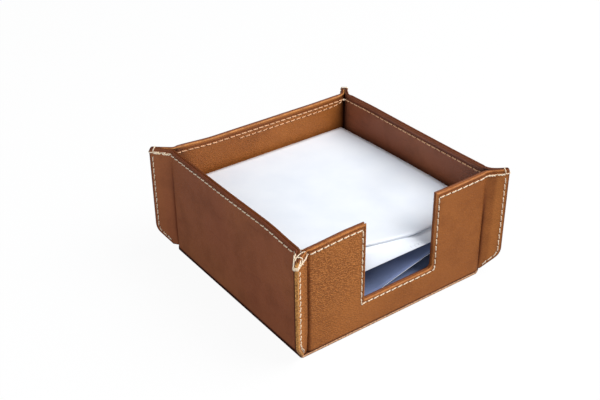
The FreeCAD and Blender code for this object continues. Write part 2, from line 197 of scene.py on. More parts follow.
def mesh_piece(name, points, faces, material, node=None, masks=None, flat=False,
               body="tray"):
    """A mesh that rides on a body in place of a CAD node, with an attribute for each mask."""
    mesh = bpy.data.meshes.new(name)
    mesh.from_pydata((np.array(points) * MM).tolist(), [], faces)
    mesh.validate(clean_customdata=False)
    mesh.update()
    mesh.polygons.foreach_set("use_smooth", [not flat] * len(mesh.polygons))
    for mask, values in (masks or {}).items():
        layer = mesh.attributes.new(mask, "FLOAT", "POINT")
        layer.data.foreach_set("value", np.asarray(values, np.float32))
    mesh.materials.append(material)
    piece = link(name, mesh)
    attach(piece, body)
    if node:
        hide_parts(node)


def ring(centre, across, up, sides):
    """Places round an ellipse, from its centre and half axes."""
    turns = [2 * pi * k / sides for k in range(sides)]
    return [centre + cos(turn) * across + sin(turn) * up for turn in turns]


def tube_faces(rings, sides, start=0):
    """Faces of a closed tube, from rings of points that follow one another."""
    here = start + np.arange(rings * sides).reshape(rings, sides)
    ahead = np.roll(here, -1, axis=1)
    quads = np.stack([here[:-1], ahead[:-1], ahead[1:], here[1:]], axis=-1).reshape(-1, 4)
    return quads.tolist() + [here[0, ::-1].tolist(), here[-1].tolist()]


# --- Shape of a wall and its two ears ---
def corner_of(wall, side):
    """The corner at the wall's right (1) or left (-1) end."""
    return CORNERS[WALLS[wall].ends[side > 0]]


def ear_turn(wall, side):
    """How far the wall's leather turns outwards into the ear at that end."""
    local = radians(corner_of(wall, side).angle - WALLS[wall].turn)
    if side < 0:
        local = pi - local
    return -remainder(local, 2 * pi)


def bend_radius(z, corner):
    """Radius of the lining where it turns into the ear: sharp below, soft at the rim."""
    start = corner.open_above
    return SHARP_BEND + (corner.soft - SHARP_BEND) * smooth((z - start) / (RIM - start)) ** 1.3


def ear_outline(z, corner):
    """How far the ear's edge stands out from the inner corner at each height."""
    tip = corner.reach + WALL * sqrt(2)
    foot = corner.foot
    slant = atan2(tip - foot, EAR_RISE - FOOT)
    tangent = EAR_ROUND * tan(slant / 2)
    centre = EAR_RISE + tangent
    low = EAR_RISE - tangent * cos(slant)
    line = foot + (z - FOOT) * tan(slant)
    inside = np.clip(EAR_ROUND ** 2 - (centre - z) ** 2, 0, None)
    arc = tip - EAR_ROUND + np.sqrt(inside)
    edge = np.where(z < low, line, np.where(z < centre, arc, tip))
    near_top = np.clip((z - RIM) / EAR_TOP_ROUND + 1, 0, 1)
    return edge - EAR_TOP_ROUND * (1 - np.sqrt(1 - 0.96 * near_top ** 2))


def edge_slant(z, corner):
    """Length along the ear's slanted edge for each unit of height."""
    step = 0.1
    steep = (ear_outline(z + step, corner) - ear_outline(z - step, corner)) / (2 * step)
    return np.sqrt(1 + steep ** 2)


def wall_surface(wall, station, height, depth_of):
    """Places points of a wall.

    station is the position along the wall: within the wall its x, and beyond it in an ear
    INNER plus the share of the ear's length. height runs from FOOT to RIM. depth_of gives the
    offset from the lining's face, from what is known of the points in one half of the wall.
    """
    facts, names = WALLS[wall], list(WALLS)
    result = np.zeros(station.shape + (3,))
    for sign in (-1, 1):
        pick = (station < 0) == (sign < 0)
        corner = corner_of(wall, sign)
        z, x = height[pick], np.abs(station[pick])
        high = z / RIM
        beta = ear_turn(wall, sign)
        radius = bend_radius(z, corner)
        half_arc = radius * beta / 2
        tangent = radius * tan(beta / 2)
        neighbour = WALLS[names[(names.index(wall) + sign) % 4]]
        bend = INNER + neighbour.lean * high - tangent
        share = np.clip(x - INNER, 0, None) / UNIT_EAR
        in_ear = share * (half_arc + ear_outline(z, corner) - tangent)
        q = np.where(x <= INNER, (x / INNER - 1) * (bend + half_arc), in_ear)
        angle = np.clip((q + half_arc) / radius, 0, beta)
        before = np.minimum(q + half_arc, 0)
        after = np.maximum(q - half_arc, 0)
        radius_here = radius - depth_of(Facts(
            corner=corner, pick=pick, q=q, share=share, z=z, radius=radius, half_arc=half_arc))
        px = bend + radius_here * np.sin(angle) + before + after * cos(beta)
        py = radius_here * np.cos(angle) - radius - after * sin(beta)
        wave = 0.16 * np.sin(x / INNER * 2.1 + high * 2.6 + facts.turn)
        py = py - INNER - facts.lean * high - wave * smooth(1 - x / INNER)
        rise = corner.lift * smooth(1 - (INNER - x) / LIFT_REACH)
        rise = rise + corner.tip * np.minimum(share, 1) ** 2
        rise = rise + facts.rise * smooth((INNER - x) / LIFT_REACH)
        result[pick] = np.stack([sign * px, py, z + rise * high ** 3], axis=-1)
    x, y = turned(result[..., 0], result[..., 1], radians(facts.turn))
    return np.stack([x, y, result[..., 2]], axis=-1)


def outer_depth(at):
    """Depth of the outer leather's face, from the lining's face."""
    corner, distance = at.corner, np.abs(at.q)
    root = corner.low_root + (corner.root - corner.low_root) * smooth(at.z / 16)
    flare = corner.edge + (root - corner.edge) * (1 - np.clip(at.share, 0, 1)) ** 1.35
    depth = np.where(at.share > 0, flare, WALL + (root - WALL) * smooth(1 + at.q / 3))
    outer_radius = np.maximum(at.radius - depth, 0.3)
    on_arc = np.minimum(distance, at.half_arc) * outer_radius / at.radius
    distance = on_arc + np.maximum(distance - at.half_arc, 0)
    sharp = 1 - smooth((at.z - corner.open_above) / (0.45 * (RIM - corner.open_above)))
    return depth - corner.groove * sharp * np.exp(-(distance / 0.36) ** 2)


def edge_distance(wall, station, height):
    """Distance from each point of a leather to its nearest cut edge, and to the rim or notch."""
    side = np.full(height.shape, 1000.0)
    for sign in (-1, 1):
        pick = station * sign > INNER
        z, corner = height[pick], corner_of(wall, sign)
        share = (np.abs(station[pick]) - INNER) / UNIT_EAR
        side[pick] = (1 - share) * ear_outline(z, corner) / edge_slant(z, corner)
    opening = RIM - height
    if wall == "front":
        across = np.maximum(NOTCH_LEFT - station, station - NOTCH_RIGHT)
        below = NOTCH_FLOOR - height
        outside = np.hypot(np.maximum(across, 0), np.maximum(below, 0))
        opening = np.minimum(opening, np.where(np.maximum(across, below) <= 1e-6, 0, outside))
    return np.minimum(np.minimum(opening, height - FOOT), side), opening, side


def groups(start, end, step):
    """Even stations between two values, about a step apart, without the end."""
    count = max(1, round(abs(end - start) / step))
    return [start + (end - start) * i / count for i in range(count)]


def row_heights(wall):
    """Heights of the grid's rows, close together at the edges and at the lines of stitches."""
    rows = [FOOT + k for k in EDGE_STATIONS] + groups(FOOT + 1.4, 12, 0.5)
    if wall == "front":
        rows += groups(12, NOTCH_FLOOR - 1.2, 0.3)
        rows += [NOTCH_FLOOR - k for k in reversed(EDGE_STATIONS)]
        rows += [NOTCH_FLOOR + k for k in NOTCH_STATIONS]
        rows += groups(NOTCH_FLOOR + 3.0, RIM - 5, 1.0)
    else:
        rows += groups(12, RIM - 5, 1.0)
    rows += groups(RIM - 5, RIM - 3.2, 0.5) + groups(RIM - 3.2, RIM - 1.3, 0.24)
    return rows + [RIM - k for k in reversed(EDGE_STATIONS)]


def column_stations(wall):
    """Stations of the grid's columns from the left ear's edge to the right ear's."""
    near = [0, 0.2, 0.4, 0.6, 0.8, 1.0, 1.25, 1.5, 1.8, 2.2, 2.7, 3.3, 4.0, 4.8, 5.8, 7.0, 8.4]
    half = [INNER - k for k in near + [10, 12, 14]]
    middle = groups(half[-1] - 1.6, -half[-1], 1.58)
    within = sorted(set([-k for k in half] + middle + half))
    if wall == "front":
        edge = EDGE_STATIONS + [1.4, 1.75, 2.1, 2.6]
        marks = [NOTCH_LEFT - k for k in edge] + [NOTCH_RIGHT + k for k in edge]
        marks += [NOTCH_LEFT + k for k in NOTCH_STATIONS[:-1]]
        marks += [NOTCH_RIGHT - k for k in NOTCH_STATIONS]
        far = [x for x in within if min(abs(x - m) for m in marks) > 0.5]
        within = sorted(far + marks)
    ear = [0.02, 0.05, 0.09, 0.14, 0.19, 0.25, 0.32, 0.4, 0.48, 0.56, 0.63, 0.69, 0.74, 0.79]
    ear += [0.84, 0.88, 0.915, 0.94, 0.962, 0.98, 0.992, 1.0]
    ear = [INNER + k * UNIT_EAR for k in ear]
    return [-k for k in reversed(ear)] + within + ear


def round_notch(x, z):
    """Rounds the lower corners of the notch by moving the grid near them."""
    for corner_x, outwards, radius in ((NOTCH_LEFT, -1, LEFT_ROUND), (NOTCH_RIGHT, 1, RIGHT_ROUND)):
        a = (x - corner_x) * outwards
        b = z - NOTCH_FLOOR
        level = np.maximum(a, -b)
        along = np.where(a > -b, b + level, -(level - a)) / (radius + np.maximum(level, 0))
        near = (np.abs(along) < 1) & (level > -1e-6)
        angle = -pi / 4 * (1 - along)
        fade = near * np.clip(1 - level / 3, 0, 1) ** 2
        x = x + outwards * fade * radius * (np.cos(angle) - 1 - np.minimum(along, 0))
        z = z + fade * radius * (np.sin(angle) + 1 - np.maximum(along, 0))
    return x, z


def cells_present(wall, columns, rows, margin=0.0):
    """Which cells of a wall's grid are there: all but the notch's, with a margin round it."""
    present = np.ones((len(rows) - 1, len(columns) - 1), bool)
    if wall == "front":
        x = (columns[1:] + columns[:-1]) / 2
        z = (rows[1:] + rows[:-1]) / 2
        inside = (x > NOTCH_LEFT - margin) & (x < NOTCH_RIGHT + margin)
        present[np.ix_(z > NOTCH_FLOOR - margin, inside)] = False
    return present


def seam_line(wall, opening):
    """1 along the pressed line beside the stitches of the rim and notch, 0 away from it."""
    return np.exp(-((opening - WALLS[wall].inset + 0.75) / 0.4) ** 2)


def leather_face(wall, kind, which, station, height, placed=None):
    """Points on the face of a leather that looks out of the tray or into it."""
    _, opening, side = edge_distance(wall, station, height)
    near_cut = np.minimum(np.minimum(opening, height - FOOT) / EDGE_ROUND, side / EAR_EDGE_ROUND)
    profile = np.sqrt(1 - (1 - np.clip(near_cut, 0, 1)) ** 2)
    bead = smooth(1 - opening / PINCH)
    pressed = 0.2 * seam_line(wall, opening)

    def depth(at):
        pinch = bead[at.pick]
        total = outer_depth(at) - 0.12 * pinch - pressed[at.pick]
        lining = 0.03 + 0.1 * pinch * (at.share <= 0) + pressed[at.pick]
        room = (total - lining) / 2
        full = np.minimum(LEATHER, room - 0.02)
        thick = full + (room - 0.04 - full) * pinch
        low, high = (total - thick, total) if kind == "outer" else (lining, lining + thick)
        half = (high - low) / 2 * profile[at.pick]
        return (high + low) / 2 + (half if which == "out" else -half)

    return wall_surface(wall, *(placed or (station, height)), depth)


def cells_around(present):
    """How many of the four cells round each place of a grid are there."""
    padded = np.pad(present, 1).astype(int)
    return padded[:-1, :-1] + padded[1:, :-1] + padded[:-1, 1:] + padded[1:, 1:]


def join_faces(out_face, in_face, present, edge, masks):
    """Points and faces of a closed sheet from its two grids, welded along the cut edges."""
    used = cells_around(present) > 0
    border = used & (edge < 1e-5)
    front = np.full(edge.shape, -1)
    front[used] = np.arange(used.sum())
    back = front.copy()
    inner = used & ~border
    back[inner] = used.sum() + np.arange(inner.sum())
    points = np.concatenate([out_face[used], in_face[inner]])
    faces = []
    rows, columns = np.nonzero(present)
    for r, c in zip(rows.tolist(), columns.tolist()):
        around = [(r, c), (r, c + 1), (r + 1, c + 1), (r + 1, c)]
        faces.append([int(front[k]) for k in around])
        faces.append([int(back[k]) for k in reversed(around)])
    values = {name: np.concatenate([mask[used], mask[inner]]) for name, mask in masks.items()}
    return points, faces, values


def leather_piece(wall, kind, material):
    """An outer leather or a lining, in place of its CAD node."""
    columns, rows = np.array(column_stations(wall)), np.array(row_heights(wall))
    station, height = np.meshgrid(columns, rows)
    placed = round_notch(station, height) if wall == "front" else None
    faces_at = [leather_face(wall, kind, which, station, height, placed) for which in ("out", "in")]
    edge, opening, side = edge_distance(wall, station, height)
    below = 1 - smooth((height - 30) / 20)
    masks = {
        "cut": 1 - smooth(edge / 0.42),
        "ear_cut": 1 - smooth(side / 1.2),
        # The crease and seam masks carry painted shade: in the corner creases, stronger lower down,
        # and in the pressed lines beside the stitches.
        "crease": np.exp(-((np.abs(station) - INNER) / 1.6) ** 2) * below,
        "seam": seam_line(wall, opening),
    }
    present = cells_present(wall, columns, rows)
    points, faces, values = join_faces(*faces_at, present, edge, masks)
    node = f"{wall}_outer_leather" if kind == "outer" else f"{wall}_lining"
    mesh_piece(f"{node}_skin", points, faces, material, node, values)


def board_piece(wall, material):
    """The board between the leathers of a wall, in place of its CAD node."""
    low, high = FOOT + 0.4, BOARD_HIGH.z - 0.6
    columns = groups(-INNER + 3.5, INNER - 3.5, 2) + [INNER - 3.5]
    rows = groups(low, high, 2) + [high]
    if wall == "front":
        columns = [x for x in columns if min(abs(x - NOTCH_LEFT), abs(x - NOTCH_RIGHT)) > 2]
        columns = sorted(columns + [NOTCH_LEFT - BOARD_SETBACK, NOTCH_RIGHT + BOARD_SETBACK])
        rows = [z for z in rows if abs(z - NOTCH_FLOOR) > 2]
        rows = sorted(rows + [NOTCH_FLOOR - BOARD_SETBACK])
    columns, rows = np.array(columns), np.array(rows)
    station, height = np.meshgrid(columns, rows)
    present = cells_present(wall, columns, rows, BOARD_SETBACK)
    border = cells_around(present) < 4
    faces_at = [wall_surface(wall, station, height, lambda at: depth)
                for depth in (WALL - 0.88, LEATHER + 0.08)]
    middle = (faces_at[0] + faces_at[1]) / 2
    for face in faces_at:
        face[border] = middle[border]
    points, faces, _ = join_faces(*faces_at, present, np.where(border, 0.0, 1.0), {})
    node = f"{wall}_wall_board"
    mesh_piece(f"{node}_core", points, faces, material, node, flat=True)


# --- Thread ---
def tube_points(centres, radius):
    """Points of a round tube along a line of centres, ring by ring."""
    ahead = unit(np.gradient(centres, axis=0))
    across = np.cross(ahead[0], [0.31, 0.55, 0.77])
    points = []
    for centre, forward in zip(centres, ahead):
        across = unit(across - forward * (across @ forward))
        up = np.cross(forward, across)
        points += ring(centre, radius * across, radius * up, PLY_SIDES)
    return points


def length_along(points):
    """The distance along a line at each of its points."""
    steps = np.linalg.norm(np.diff(points, axis=0), axis=1)
    return np.concatenate([[0], np.cumsum(steps)])


class ThreadMesh:
    """Collects the twisted thread of one piece, and where its needle holes are."""

    def __init__(self):
        self.points, self.faces, self.holes = [], [], []

    def twisted(self, centres, ups, twist_length, wide=THREAD):
        """Two plies laid round each other along a line; ups are directions off the surface."""
        centres = np.asarray(centres)
        ahead = unit(np.gradient(centres, axis=0))
        side = unit(np.cross(ahead, ups))
        up = np.cross(side, ahead)
        phase = RANDOM.uniform(0, pi)
        for ply in (0, pi):
            turn = (2 * pi * length_along(centres) / twist_length + phase + ply)[:, None]
            line = centres + wide * 0.24 * (np.cos(turn) * up + np.sin(turn) * side)
            start = len(self.points)
            self.points += tube_points(line, wide * 0.29)
            self.faces += tube_faces(len(line), PLY_SIDES, start)

    def sew(self, wall, kind, corners, slant=0.07, pitch=STITCH_PITCH, sunk=0.0,
            filled=STITCH / STITCH_PITCH):
        """A row of stitches along a line on a leather, each dipping into its needle holes."""
        points, normals = path_on_leather(wall, kind, corners)
        total = length_along(points)[-1]
        count = max(1, round(total / pitch))
        pitch = total / count
        gap = pitch * (1 - filled)
        share = np.array([0, 0.04, 0.1, 0.2, 0.35, 0.5, 0.65, 0.8, 0.9, 0.96, 1.0])
        off = np.abs(2 * share - 1)
        lift = 0.17 - 0.02 * off ** 2 - 0.5 * off ** 9 - sunk
        for i in range(count):
            start = i * pitch + gap / 2 + RANDOM.uniform(-0.08, 0.08)
            end = (i + 1) * pitch - gap / 2 + RANDOM.uniform(-0.08, 0.08)
            p, n = resample(points, normals, np.clip(start + (end - start) * share, 0, total))
            ahead = unit(p[-1] - p[0])
            tilt = slant * pitch + RANDOM.uniform(-0.06, 0.06)
            p = p + n * lift[:, None] + np.cross(n, ahead) * ((share - 0.5) * tilt)[:, None]
            self.twisted(p, n, 2.3)
            self.holes += [(p[end] - n[end] * lift[0], n[end], ahead) for end in (0, -1)]

    def finish(self, name, node, thread, hole=None):
        """Makes the piece, with low dimples where its stitches go in, painted dark as the shade
        inside the needle holes.
        """
        mesh_piece(f"{name}_thread", self.points, self.faces, thread, node)
        points, faces = [], []
        for centre, normal, ahead in self.holes:
            side = np.cross(normal, ahead)
            start = len(points)
            for reach, lift in ((1.0, -0.02), (0.72, 0.035)):
                points += ring(centre + normal * lift, reach * 0.36 * ahead, reach * 0.3 * side,
                               HOLE_SIDES)
            faces += tube_faces(2, HOLE_SIDES, start)
            del faces[-2]
            tip = len(points)
            points.append(centre - normal * 0.05)
            faces += [[start + (k + 1) % HOLE_SIDES, start + k, tip] for k in range(HOLE_SIDES)]
        if hole:
            mesh_piece(f"{name}_needle_holes", points, faces, hole)


def path_on_leather(wall, kind, corners):
    """A fine line through (station, height) corners on a leather's open face, and its normals."""
    pairs = []
    for (x0, z0), (x1, z1) in zip(corners, corners[1:]):
        count = max(2, int(hypot(x1 - x0, z1 - z0) / 0.12))
        for share in np.linspace(0, 1, count, endpoint=False):
            pairs.append((x0 + (x1 - x0) * share, z0 + (z1 - z0) * share))
    station, height = np.array(pairs + [corners[-1]], float).T
    step, which = 0.15, "out" if kind == "outer" else "in"

    def at(dx, dz):
        return leather_face(wall, kind, which, station + dx, height + dz)

    normal = unit(np.cross(at(step, 0) - at(-step, 0), at(0, step) - at(0, -step)))
    return at(0, 0), normal if kind == "outer" else -normal


def resample(points, normals, distances):
    """Points and normals at distances along a line."""
    length = length_along(points)
    p, n = [np.stack([np.interp(distances, length, values[:, k]) for k in range(3)], axis=1)
            for values in (points, normals)]
    return p, unit(n)


def ear_line(wall, side):
    """The line of stitches inside an ear's edge, as (station, height) corners from the top."""
    corner = corner_of(wall, side)
    heights = np.concatenate([np.linspace(RIM - 3.4, 14, 12), np.linspace(13, 3.6, 16)])
    share = 1 - EAR_INSET * edge_slant(heights, corner) / ear_outline(heights, corner)
    keep = share > 0.08
    return [(side * (INNER + s * UNIT_EAR), z) for s, z in zip(share[keep], heights[keep])]


def rim_line(wall):
    """The corners of the rim's line of stitches, split at the notch's corners."""
    z = RIM - WALLS[wall].inset
    ends = []
    for name in WALLS[wall].ends:
        share = 0.97 - EAR_INSET / (CORNERS[name].reach + WALL * sqrt(2))
        ends.append(INNER + share * UNIT_EAR)
    if wall != "front":
        return [[(-ends[0], z), (ends[1], z)]]
    left, right = NOTCH_LEFT - NOTCH_INSET["left"], NOTCH_RIGHT + NOTCH_INSET["right"]
    low = NOTCH_FLOOR - NOTCH_INSET["floor"]
    bend = [(right - 1.5, low), (right - 0.45, low + 0.45), (right, low + 1.5), (right, z)]
    return [[(-ends[0], z), (left, z)], [(left, z), (left, low)], [(left, low), bend[0]], bend,
            [(right, z), (ends[1], z)]]


def rim_stitches(wall, thread, hole):
    """All the stitches along one rim, on the outer leather, its wings and the lining."""
    threads = ThreadMesh()
    for line in rim_line(wall):
        threads.sew(wall, "outer", line)
    end = INNER - 0.3
    for line in rim_line(wall):
        threads.sew(wall, "lining", [(max(-end, min(end, x)), z) for x, z in line], slant=-0.05)
    if wall == "rear":
        low = RIM - WALLS[wall].inset - 1.9
        second = [(-INNER + 0.6, low + 1.4), (-INNER + 5, low + 0.3), (-INNER + 10, low), (14, low)]
        threads.sew(wall, "lining", second, sunk=0.13)
    threads.finish(f"{wall}_rim", f"{wall}_rim_stitching", thread, hole)


def ear_walls(name):
    """The two walls whose leathers make an ear, with the end of each."""
    return [(wall, -1 if facts.ends[0] == name else 1)
            for wall, facts in WALLS.items() if name in facts.ends]


def ear_stitches(name, thread, hole):
    """The stitches down both faces of an ear."""
    threads = ThreadMesh()
    for wall, side in ear_walls(name):
        line = ear_line(wall, side)
        if name == "front_left":
            sunk = 0.3 if wall == "left" else 0.0
            threads.sew(wall, "outer", line, 0.3 * side, NEAR_EAR_PITCH, sunk, NEAR_EAR_FILLED)
        else:
            threads.sew(wall, "outer", line, slant=0.08 * side)
    threads.finish(f"{name}_ear", f"{name}_ear_stitching", thread, hole)


def face_spot(wall, side, share, z):
    """A point on an ear's face, at a share of its length and a height, and its normal."""
    corners = [(side * (INNER + (share - k) * UNIT_EAR), z) for k in (0.01, 0)]
    points, normals = path_on_leather(wall, "outer", corners)
    return points[-1], normals[-1]


def curve_through(spots, ups):
    """A smooth line through points, with a direction off the surface at each."""
    spots, ups = np.array(spots), np.array(ups)
    padded = np.concatenate([[2 * spots[0] - spots[1]], spots, [2 * spots[-1] - spots[-2]]])
    line, up = [], []
    for i in range(len(spots) - 1):
        a, b, c, d = padded[i:i + 4]
        count = max(3, int(np.linalg.norm(c - b) / 0.12))
        for t in np.linspace(0, 1, count, endpoint=False):
            line.append(0.5 * (2 * b + (c - a) * t + (2 * a - 5 * b + 4 * c - d) * t ** 2
                               + (3 * b - a - 3 * c + d) * t ** 3))
            up.append(ups[i] * (1 - t) + ups[i + 1] * t)
    return np.array(line + [spots[-1]]), np.array(up + [ups[-1]])


def tie(name, strands, thread):
    """Threads tied at the top of an ear.

    A strand is a list of (place, share, height, proud). The place is 0 or 1 for the face of the
    ear's first or second wall, or a share between for its edge or top, where the strand crosses.
    """
    threads = ThreadMesh()
    top = RIM - 0.05
    for wide, spots in strands:
        points, ups = [], []
        for place, share, z, proud in spots:
            ends = [face_spot(wall, side, min(share, 0.995), min(z, top))
                    for wall, side in ear_walls(name)]
            spot, up = [ends[0][k] * (1 - place) + ends[1][k] * place for k in (0, 1)]
            if share > 1:
                out = unit(spot * (1, 1, 0))
                spot = spot + out * (share - 1) * UNIT_EAR
                up = up + 2 * out
            if z > top:
                spot = spot + (0, 0, z - RIM)
                up = up + (0, 0, 2)
            ups.append(unit(up))
            points.append(spot + ups[-1] * proud)
        threads.twisted(*curve_through(points, ups), 2.3, wide)
    for line, ups in inner_knot(name):
        threads.twisted(*curve_through(line, ups), 1.6, 0.8 * THREAD)
    threads.finish(f"{name}_tie", f"{name}_corner_tie", thread)


def plain_tie():
    """One thread over the ear's top and stitches round its edge, as (width, spots) strands."""
    z, over_at, proud = TIE_LINE, 0.84, 0.18
    up = [(over_at, z - 0.3, SUNK), (over_at, z + 0.5, proud), (over_at, RIM - 0.3, proud)]
    over = [(0, *spot) for spot in up] + [(0.5, over_at, RIM + 0.12, proud)]
    strands = [(THREAD, over + [(1, *spot) for spot in reversed(up)])]
    for place in (0, 1):
        strands.append((0.9 * THREAD, [
            (place, 0.83, z, SUNK), (place, 0.88, z + 0.1, proud),
            (place, 0.99, z + 0.15, proud), (0.5, 1.01, z + 0.15, proud)]))
        for start, end in ((0.1, 0.44), (0.5, 0.82)):
            strands.append((1.5 * THREAD, [
                (place, start, z, SUNK), (place, start + 0.05, z, proud),
                (place, end - 0.05, z - 0.1, proud), (place, end, z - 0.1, SUNK)]))
    return strands


def knotted_tie():
    """The tangle at the near corner: strands over the top, round the edge, and a thick knot.

    Place 0 is the front wall's face of the ear and 1 is the left wall's.
    """
    z, proud = TIE_LINE, 0.2
    from_rim = [(0, 0.02, z, SUNK), (0, 0.1, z, proud), (0, 0.3, z + 0.1, 0.35),
                (0, 0.55, z + 0.2, 0.5), (0, 0.8, z + 0.3, 0.45), (0, 0.96, z + 0.4, proud)]
    over_top = [(1, 0.62, z - 0.2, SUNK), (1, 0.62, z + 0.7, proud), (1, 0.62, RIM - 0.2, proud),
                (0.5, 0.6, RIM + 0.15, proud), (0, 0.58, RIM - 0.2, proud),
                (0, 0.62, z + 0.3, 0.3), (0, 0.7, z + 0.2, 0.4), (0, 0.76, z, proud)]
    second = [(1, 0.72, z - 0.2, SUNK), (1, 0.76, z + 0.8, proud), (0.8, 0.66, RIM + 0.1, proud),
              (0.5, 0.45, RIM + 0.15, proud), (0.2, 0.25, RIM + 0.1, proud),
              (0, 0.1, RIM - 0.4, proud)]
    strands = [(THREAD, from_rim), (THREAD, over_top), (THREAD * 0.8, second)]
    for rise, wide in ((1.2, THREAD), (0.75, THREAD * 1.3), (0.3, THREAD)):
        low = z + rise
        strands.append((wide, [
            (0, 0.66, low + 0.5, SUNK), (0, 0.76, low + 0.4, proud), (0, 0.9, low + 0.1, proud),
            (0, 0.99, low, proud), (0.5, 1.015, low, proud), (1, 0.99, low, proud),
            (1, 0.85, low + 0.1, proud), (1, 0.66, low + 0.3, 0.3),
            (1, 0.5, low + 0.9, proud), (1, 0.44, low + 1.4, SUNK)]))
    loose = [(0, 0.88, z + 0.3, proud), (0, 0.72, z + 0.3, 0.6), (0, 0.6, z - 0.4, 0.7)]
    return strands + [(THREAD * 0.7, loose)]


def inner_knot(name):
    """A small knot where the lines of stitches meet at the inside of a corner."""
    way = radians(45 + 90 * (CORNERS[name].angle // 90))
    inwards = np.array([-cos(way), -sin(way), 0.0])
    across = np.array([-sin(way), cos(way), 0.0])
    place = -inwards * (INNER * sqrt(2) - 1.0) + (0, 0, RIM - 2.2)
    for drop, lean in ((0.0, 0.25), (0.45, -0.15), (0.2, 0.6)):
        line = [place + across * 0.85 * t + inwards * 0.35 * (1 - t * t)
                + (0, 0, lean * 0.5 * t - drop) for t in np.linspace(-1, 1, 9)]
        yield line, [inwards] * len(line)


# --- Base ---
def base_outline():
    """Points round the base's outline, anticlockwise from the front left corner."""
    low, high = box("base_cover")
    bends = []
    for (sx, sy), cut in BASE_CUTS.items():
        corner = np.array([high.x if sx > 0 else low.x + 0.1, high.y if sy > 0 else low.y])
        start, end = corner - (sx * cut, 0), corner - (0, sy * cut)
        if sx * sy > 0:
            start, end = end, start
        for t in np.linspace(0, 1, 7):
            bow = 0.12 * cut * sin(pi * t) * np.array([sx, sy])
            bends.append(start * (1 - t) + end * t + bow)
    points = []
    for start, end in zip(bends, bends[1:] + bends[:1]):
        count = max(1, round(np.linalg.norm(end - start) / 3))
        points += [start + (end - start) * k / count for k in range(count)]
    return points


def base_piece(material):
    """The leather under the base: a slab with rounded cut edges, in place of its CAD node."""
    low, high = box("base_cover")
    bottom, top = low.z, high.z - 0.2
    middle, half = (bottom + top) / 2, (top - bottom) / 2
    insets = [0, 0.02, 0.07, 0.16, 0.3, 0.5, 1.2, 3.0]
    outer = base_outline()
    rings = [(-1, inset) for inset in reversed(insets[1:])] + [(1, inset) for inset in insets]
    points, cut_mask = [], []
    for sign, inset in rings:
        z = middle + sign * half * sqrt(1 - (1 - min(inset / 0.5, 1)) ** 2)
        points += [(x * (1 - inset / high.x), y * (1 - inset / high.y), z) for x, y in outer]
        cut_mask += [1.0 if inset < 0.4 else 0.0] * len(outer)
    faces = tube_faces(len(rings), len(outer))
    mesh_piece("base_cover_skin", points, faces, material, "base_cover",
               {"ear_cut": cut_mask})


# --- Memo sheets ---
def sheet_piece(name, node, height, above, thick, material, shift=(0, 0), turn=0.0, inset=0.0,
                body="note_pile"):
    """A thin sheet whose upper face follows a height function."""
    side = np.linspace(inset - NOTE, NOTE - inset, SHEET_CELLS + 1)
    x, y = np.meshgrid(side, side)
    z = height(above, x, y)
    px, py = turned(x, y, turn)
    upper = np.stack([px + shift[0], py + shift[1], z], axis=-1)
    present = np.ones((SHEET_CELLS, SHEET_CELLS), bool)
    points, faces, _ = join_faces(upper, upper - (0, 0, thick), present, np.ones(x.shape), {})
    index = np.arange(x.size).reshape(x.shape)
    rim = np.concatenate([index[0, :-1], index[:-1, -1], index[-1, :0:-1], index[:0:-1, 0]])
    ahead = np.roll(rim, -1)
    faces += np.stack([ahead, rim, rim + x.size, ahead + x.size], axis=-1).tolist()
    mesh_piece(name, points, faces, material, node, body=body)


def front_share(y, power):
    """1 at the front edge of the sheets, 0 at the rear."""
    return np.clip((NOTE - y) / (2 * NOTE), 0, 1) ** power


def upper_height(above, x, y):
    """Upper face of the uppermost sheets, which sag in front and buckle beside the dip."""
    low = box("upper_notes")[0].z
    share = front_share(y, 2.0)
    left = np.clip((DIP_X - x) / (DIP_X + NOTE), 0, 1) ** 1.3
    right = np.clip((x - RIGHT_RISE_FROM) / (NOTE - RIGHT_RISE_FROM), 0, 1) ** 1.7
    rise = (SAG_LEFT * left + SAG_RIGHT * right) * front_share(y, 1.2)
    buckle = smooth((x - 9.6) / 12) * smooth((y + 47) / 10)
    buckle = buckle * smooth((2 - y) / 26) * smooth((43 - x) / 17)
    return above + BUCKLE * buckle + rise + (low - 1.0) * share + (low + 3.7) * (1 - share)


def middle_height(above, x, y):
    """Upper face of the sheets in the middle, which bend down in front."""
    behind = np.clip((y + NOTE) / 4.6, 0, 1)
    under = upper_height(-0.8, x, y) - 3.3 * smooth((x - 6) / 15)
    return MIDDLE_FRONT + (under - MIDDLE_FRONT) * (1 - (1 - behind) ** 2) + above


def curled_height(above, x, y):
    """Upper face of the sheet whose front right corner curls up."""
    low, high = box("curled_note")
    across = np.clip((x - CURL_FROM) / (NOTE - CURL_FROM), 0, 1) ** 0.9
    return low.z + above + (high.z - low.z - above) * across * front_share(y, 1.6)


def note_stack(material):
    """The sheets that lie flat at the bottom, a little out of line with one another."""
    low, high = box("lower_note_stack")
    thick = (high.z - 2.8 - low.z) / STACK_COUNT
    half = NOTE - 0.5
    points, faces = [], []
    for i in range(STACK_COUNT):
        turn = RANDOM.uniform(-0.006, 0.006)
        dx, dy = RANDOM.uniform(-0.35, 0.35), RANDOM.uniform(-0.35, 0.35)
        faces += tube_faces(2, 4, len(points))
        for z in (low.z + i * thick, low.z + (i + 1) * thick - 0.06):
            for x, y in SQUARE:
                px, py = turned(x * half, y * half, turn)
                points.append((px + dx, py + dy, z))
    mesh_piece("lower_note_sheets", points, faces, material, "lower_note_stack",
               flat=True, body="note_pile")


